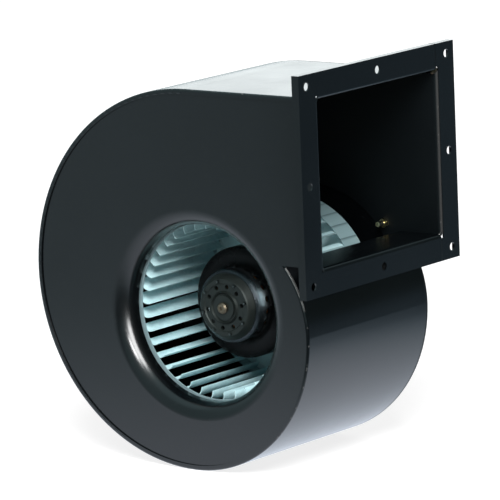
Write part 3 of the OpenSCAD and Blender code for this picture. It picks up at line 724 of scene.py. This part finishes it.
weld_size = np.array([PAINTED_SIZE, PAINTED_SIZE, PAINTED_SIZE, RUSTY_SIZE])
duct_low_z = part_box("flange_bottom_bar")[1].z
duct_high_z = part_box("flange_top_bar")[0].z
weld_x = -WELD_SINK * weld_size[:, 0]
weld_y = np.array([duct_low_y, duct_high_y, duct_low_y, duct_high_y])
weld_z = np.array([duct_low_z, duct_low_z, duct_high_z, duct_high_z])
theta = np.linspace(0.0, 2.0 * math.pi, 33)[None, :, None]
phi = np.linspace(0.0, math.pi, 17)[None, None, :]
phase = np.arange(len(weld_size))[:, None, None]
lobes = LOBE_HEIGHT * np.sin(3.0 * theta + phase) * np.sin(phi) ** 2
ripples = RIPPLE_HEIGHT * np.sin(5.0 * phi + 2.0 * theta + phase) * np.sin(phi)
radius = 1.0 + lobes + ripples
ball = np.stack([radius * np.cos(phi),
                 radius * np.sin(phi) * np.cos(theta),
                 radius * np.sin(phi) * np.sin(theta)], axis=-1)
weld_place = np.stack([weld_x, weld_y, weld_z], axis=-1)
blobs = weld_place[:, None, None, :] + weld_size[:, None, None, :] * ball
painted_welds = surface("painted_welds", blobs[:3])
rusty_weld = surface("rusty_weld", blobs[3:])
for welds in (painted_welds, rusty_weld):
    close_seams(welds)
    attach(welds, "housing")
weld_rust = bare_metal("weld_rust", RUST_DARK, RUST_LIGHT, rough=0.6, waves=500.0)
dress(housing_paint, "painted_welds")
dress(weld_rust, "rusty_weld")

# %% [markdown]
# ## Floor
# The fan lies on its round belly on a white table. The floor is one grid of points. Camera rays see it
# almost white by itself, and lamps add the rest, so that the table runs into the white background and still
# keeps the shadow under the belly. Mirror rays see it bright and neutral close to the fan, dimmer and cooler
# far away, most of all behind it and before the outlet, as on a table in a room: this gives the black paint
# its dark upper part and its pale belly.

# %% Floor
FLOOR_HALF = 6.0
FLOOR_LINES = 13

side = np.linspace(-FLOOR_HALF, FLOOR_HALF, FLOOR_LINES)
grid_x, grid_y = np.meshgrid(side, side, indexing="xy")
grid = np.stack([grid_x, grid_y, np.full_like(grid_x, floor_z)], axis=-1)
floor = surface("studio_floor", grid[None])
print("floor at z %.4f" % floor_z)


# %% Kinds of rays and directions
BEHIND_RIGHT = (0.60, 0.80, 0.0)
FRONT_RIGHT = (0.80, -0.60, 0.0)
UPWARD = (0.0, 0.0, 1.0)


def ray_kinds(owner):
    """Two sockets: 1 for camera rays, and 1 for mirror and transmission rays."""
    path = add(owner, "ShaderNodeLightPath").outputs
    mirrored = reckon(owner, "MAXIMUM", path["Is Glossy Ray"], path["Is Transmission Ray"])
    return path["Is Camera Ray"], mirrored


def along_direction(owner, vector, direction, old_range, new_range):
    """A level that changes smoothly with the distance of a point along a direction."""
    distance = reckon_vector(owner, "DOT_PRODUCT", vector, direction)
    return spread(owner, distance, old_range, new_range, ease="SMOOTHSTEP")


# %% White of the floor
FLOOR_MATT = (0.42, 0.42, 0.42, 1.0)
FLOOR_CAMERA = 0.80
FLOOR_CAMERA_FAR = 0.94
CAMERA_SPAN = (0.5, 2.5)
FLOOR_NEAR = 1.5
FLOOR_FAR = 0.22
FLOOR_FRONT = 0.45
FLOOR_ASIDE = 0.08
BEHIND_SPAN = (0.05, 0.75)
FRONT_SPAN = (-1.2, -0.05)
ASIDE_SPAN = (0.0, 0.3)
TINT_SPAN = (-0.3, 0.6)
COOL_FRONT = (0.66, 0.95, 1.0)
COOL_BEHIND = (0.58, 0.90, 1.12)
COOL_NEAR = (0.86, 0.94, 1.06)

floor_white = finish("floor_white", Base_Color=FLOOR_MATT, Roughness=1.0, Specular_IOR_Level=0.0)
spot = add(floor_white, "ShaderNodeTexCoord").outputs["Object"]
seen, mirrored = ray_kinds(floor_white)
spot_distance = reckon_vector(floor_white, "LENGTH", spot)
seen_level = spread(floor_white, spot_distance, CAMERA_SPAN, (FLOOR_CAMERA, FLOOR_CAMERA_FAR))
behind = along_direction(floor_white, spot, BEHIND_RIGHT, BEHIND_SPAN, (FLOOR_NEAR, FLOOR_FAR))
in_front = along_direction(floor_white, spot, BEHIND_RIGHT, FRONT_SPAN, (FLOOR_FRONT, 1.0))
aside = along_direction(floor_white, spot, FRONT_RIGHT, ASIDE_SPAN, (1.0, FLOOR_ASIDE))
mirror_level = reckon(floor_white, "MULTIPLY", reckon(floor_white, "MULTIPLY", behind, in_front), aside)
nearness = reckon(floor_white, "MULTIPLY", mirror_level, 1.0 / FLOOR_NEAR)
turned = along_direction(floor_white, spot, BEHIND_RIGHT, TINT_SPAN, FULL_RANGE)
far_tint = blend(floor_white, turned, COOL_FRONT, COOL_BEHIND)
mirror_tint = blend(floor_white, nearness, far_tint, COOL_NEAR)

seen_glow = add(floor_white, "ShaderNodeEmission")
join(floor_white, reckon(floor_white, "MULTIPLY", seen, seen_level), seen_glow.inputs["Strength"])
mirror_glow = add(floor_white, "ShaderNodeEmission")
join(floor_white, mirror_tint, mirror_glow.inputs["Color"])
join(floor_white, mirror_level, mirror_glow.inputs["Strength"])
lit = add(floor_white, "ShaderNodeAddShader")
join(floor_white, shader_of(floor_white).outputs[0], lit.inputs[0])
join(floor_white, seen_glow.outputs[0], lit.inputs[1])
either = add(floor_white, "ShaderNodeMixShader")
join(floor_white, mirrored, either.inputs[0])
join(floor_white, lit.outputs[0], either.inputs[1])
join(floor_white, mirror_glow.outputs[0], either.inputs[2])
join(floor_white, either.outputs[0], floor_white.node_tree.nodes["Material Output"].inputs["Surface"])
dress(floor_white, "studio_floor")

# %% [markdown]
# ## Room
# The room is white to the camera. To the paint's mirror it is grey, darkest behind the fan on the right, and
# bright overhead. On matt surfaces it sheds an even, low light.

# %% Room
DIFFUSE_LEVEL = 0.25
ROOM_FRONT = 0.60
ROOM_BEHIND = 0.10
WALL_SPAN = (0.0, 0.9)
CEILING_SPAN = (0.35, 0.9)
WHITE = (1.0, 1.0, 1.0)

white_room = bpy.data.worlds.new("white_room")
bpy.context.scene.world = white_room
white_room.use_nodes = True
heading = add(white_room, "ShaderNodeTexCoord").outputs["Generated"]
seen, mirrored = ray_kinds(white_room)
walls = along_direction(white_room, heading, BEHIND_RIGHT, WALL_SPAN, (ROOM_FRONT, ROOM_BEHIND))
ceiling = along_direction(white_room, heading, UPWARD, CEILING_SPAN, FULL_RANGE)
mirror_level = reckon(white_room, "MAXIMUM", walls, ceiling)
in_mirror = reckon(white_room, "MULTIPLY", mirrored, mirror_level)
not_seen = reckon(white_room, "SUBTRACT", 1.0, reckon(white_room, "MAXIMUM", seen, mirrored))
on_matt = reckon(white_room, "MULTIPLY", not_seen, DIFFUSE_LEVEL)
level = reckon(white_room, "MAXIMUM", reckon(white_room, "MAXIMUM", seen, in_mirror), on_matt)
sky = white_room.node_tree.nodes["Background"]
join(white_room, blend(white_room, mirrored, WHITE, COOL_FRONT), sky.inputs["Color"])
join(white_room, level, sky.inputs["Strength"])
bpy.context.scene.view_settings.view_transform = "Standard"
print("room:", white_room.name)

# %% [markdown]
# ## Lamps
# A key lamp above the camera shines into the inlet, and a low lamp far behind draws the pale sheen on the top
# run, which the camera meets at a grazing angle. A tall strip on the right and a narrow one beside the camera
# only show as reflections: in the bell mouth, on the rotor and on the nut in the outlet. So they are hidden
# from matt surfaces and linked to those pieces. From behind, they and the key would turn the top run white,
# so the key is hidden from mirrors. The last lamp stands for the light that the pale blades throw on the side
# of the rotor's neck. It is where the neck mirrors it, beyond the housing, so only the floor may block it.


# %% Helpers for lamps
def soft_lamp(name, azimuth, elevation, distance, width, height, watts):
    """A rectangular lamp at an azimuth and elevation in degrees from the wheel, turned towards the wheel."""
    outward = heading_of(math.radians(azimuth), math.radians(elevation))
    lamp_data = bpy.data.lights.new(name, "AREA")
    lamp_data.shape = "RECTANGLE"
    lamp_data.size = width
    lamp_data.size_y = height
    lamp_data.energy = watts
    lamp = bpy.data.objects.new(name, lamp_data)
    bpy.context.scene.collection.objects.link(lamp)
    lamp.location = axis_point + distance * outward
    lamp.rotation_euler = outward.to_track_quat("Z", "Y").to_euler()
    return lamp


def group(name, *members):
    """A collection of CAD nodes or pieces."""
    collection = bpy.data.collections.new(name)
    for member in members:
        collection.objects.link(piece(member))
    return collection


def gloss_only(lamp, *names):
    """Hides a lamp from matt surfaces and links it to the pieces that mirror it."""
    lamp.visible_diffuse = False
    lamp.light_linking.receiver_collection = group(lamp.name + "_mirrors", *names)


# %% Lamps
BLADE_TINT = (0.80, 0.97, 1.0)

key = soft_lamp("lamp_key", azimuth=37.0, elevation=41.0, distance=2.4, width=1.2, height=1.2, watts=108.0)
key.visible_glossy = False
soft_lamp("lamp_sheen", azimuth=217.0, elevation=14.0, distance=3.2, width=2.6, height=1.0, watts=14.5)
strip = soft_lamp("lamp_strip", azimuth=65.0, elevation=27.0, distance=2.2,
                  width=1.0, height=1.9, watts=135.0)
gloss_only(strip, "inlet_side_plate")
glint = soft_lamp("lamp_glint", azimuth=40.0, elevation=24.0, distance=2.4,
                  width=0.5, height=0.9, watts=55.0)
gloss_only(glint, "inlet_side_plate", "rotor_shell", "rotor_end_cap", "shaft_cap",
           "motor_plate_nuts", "motor_plate_screws")
blade_light = soft_lamp("lamp_blade_light", azimuth=143.0, elevation=10.0, distance=2.4,
                        width=0.5, height=0.5, watts=90.0)
blade_light.data.color = BLADE_TINT
gloss_only(blade_light, "rotor_shell")
blade_light.light_linking.blocker_collection = group("lamp_blade_light_blockers", "studio_floor")
print("lamps:", len(bpy.data.lights))
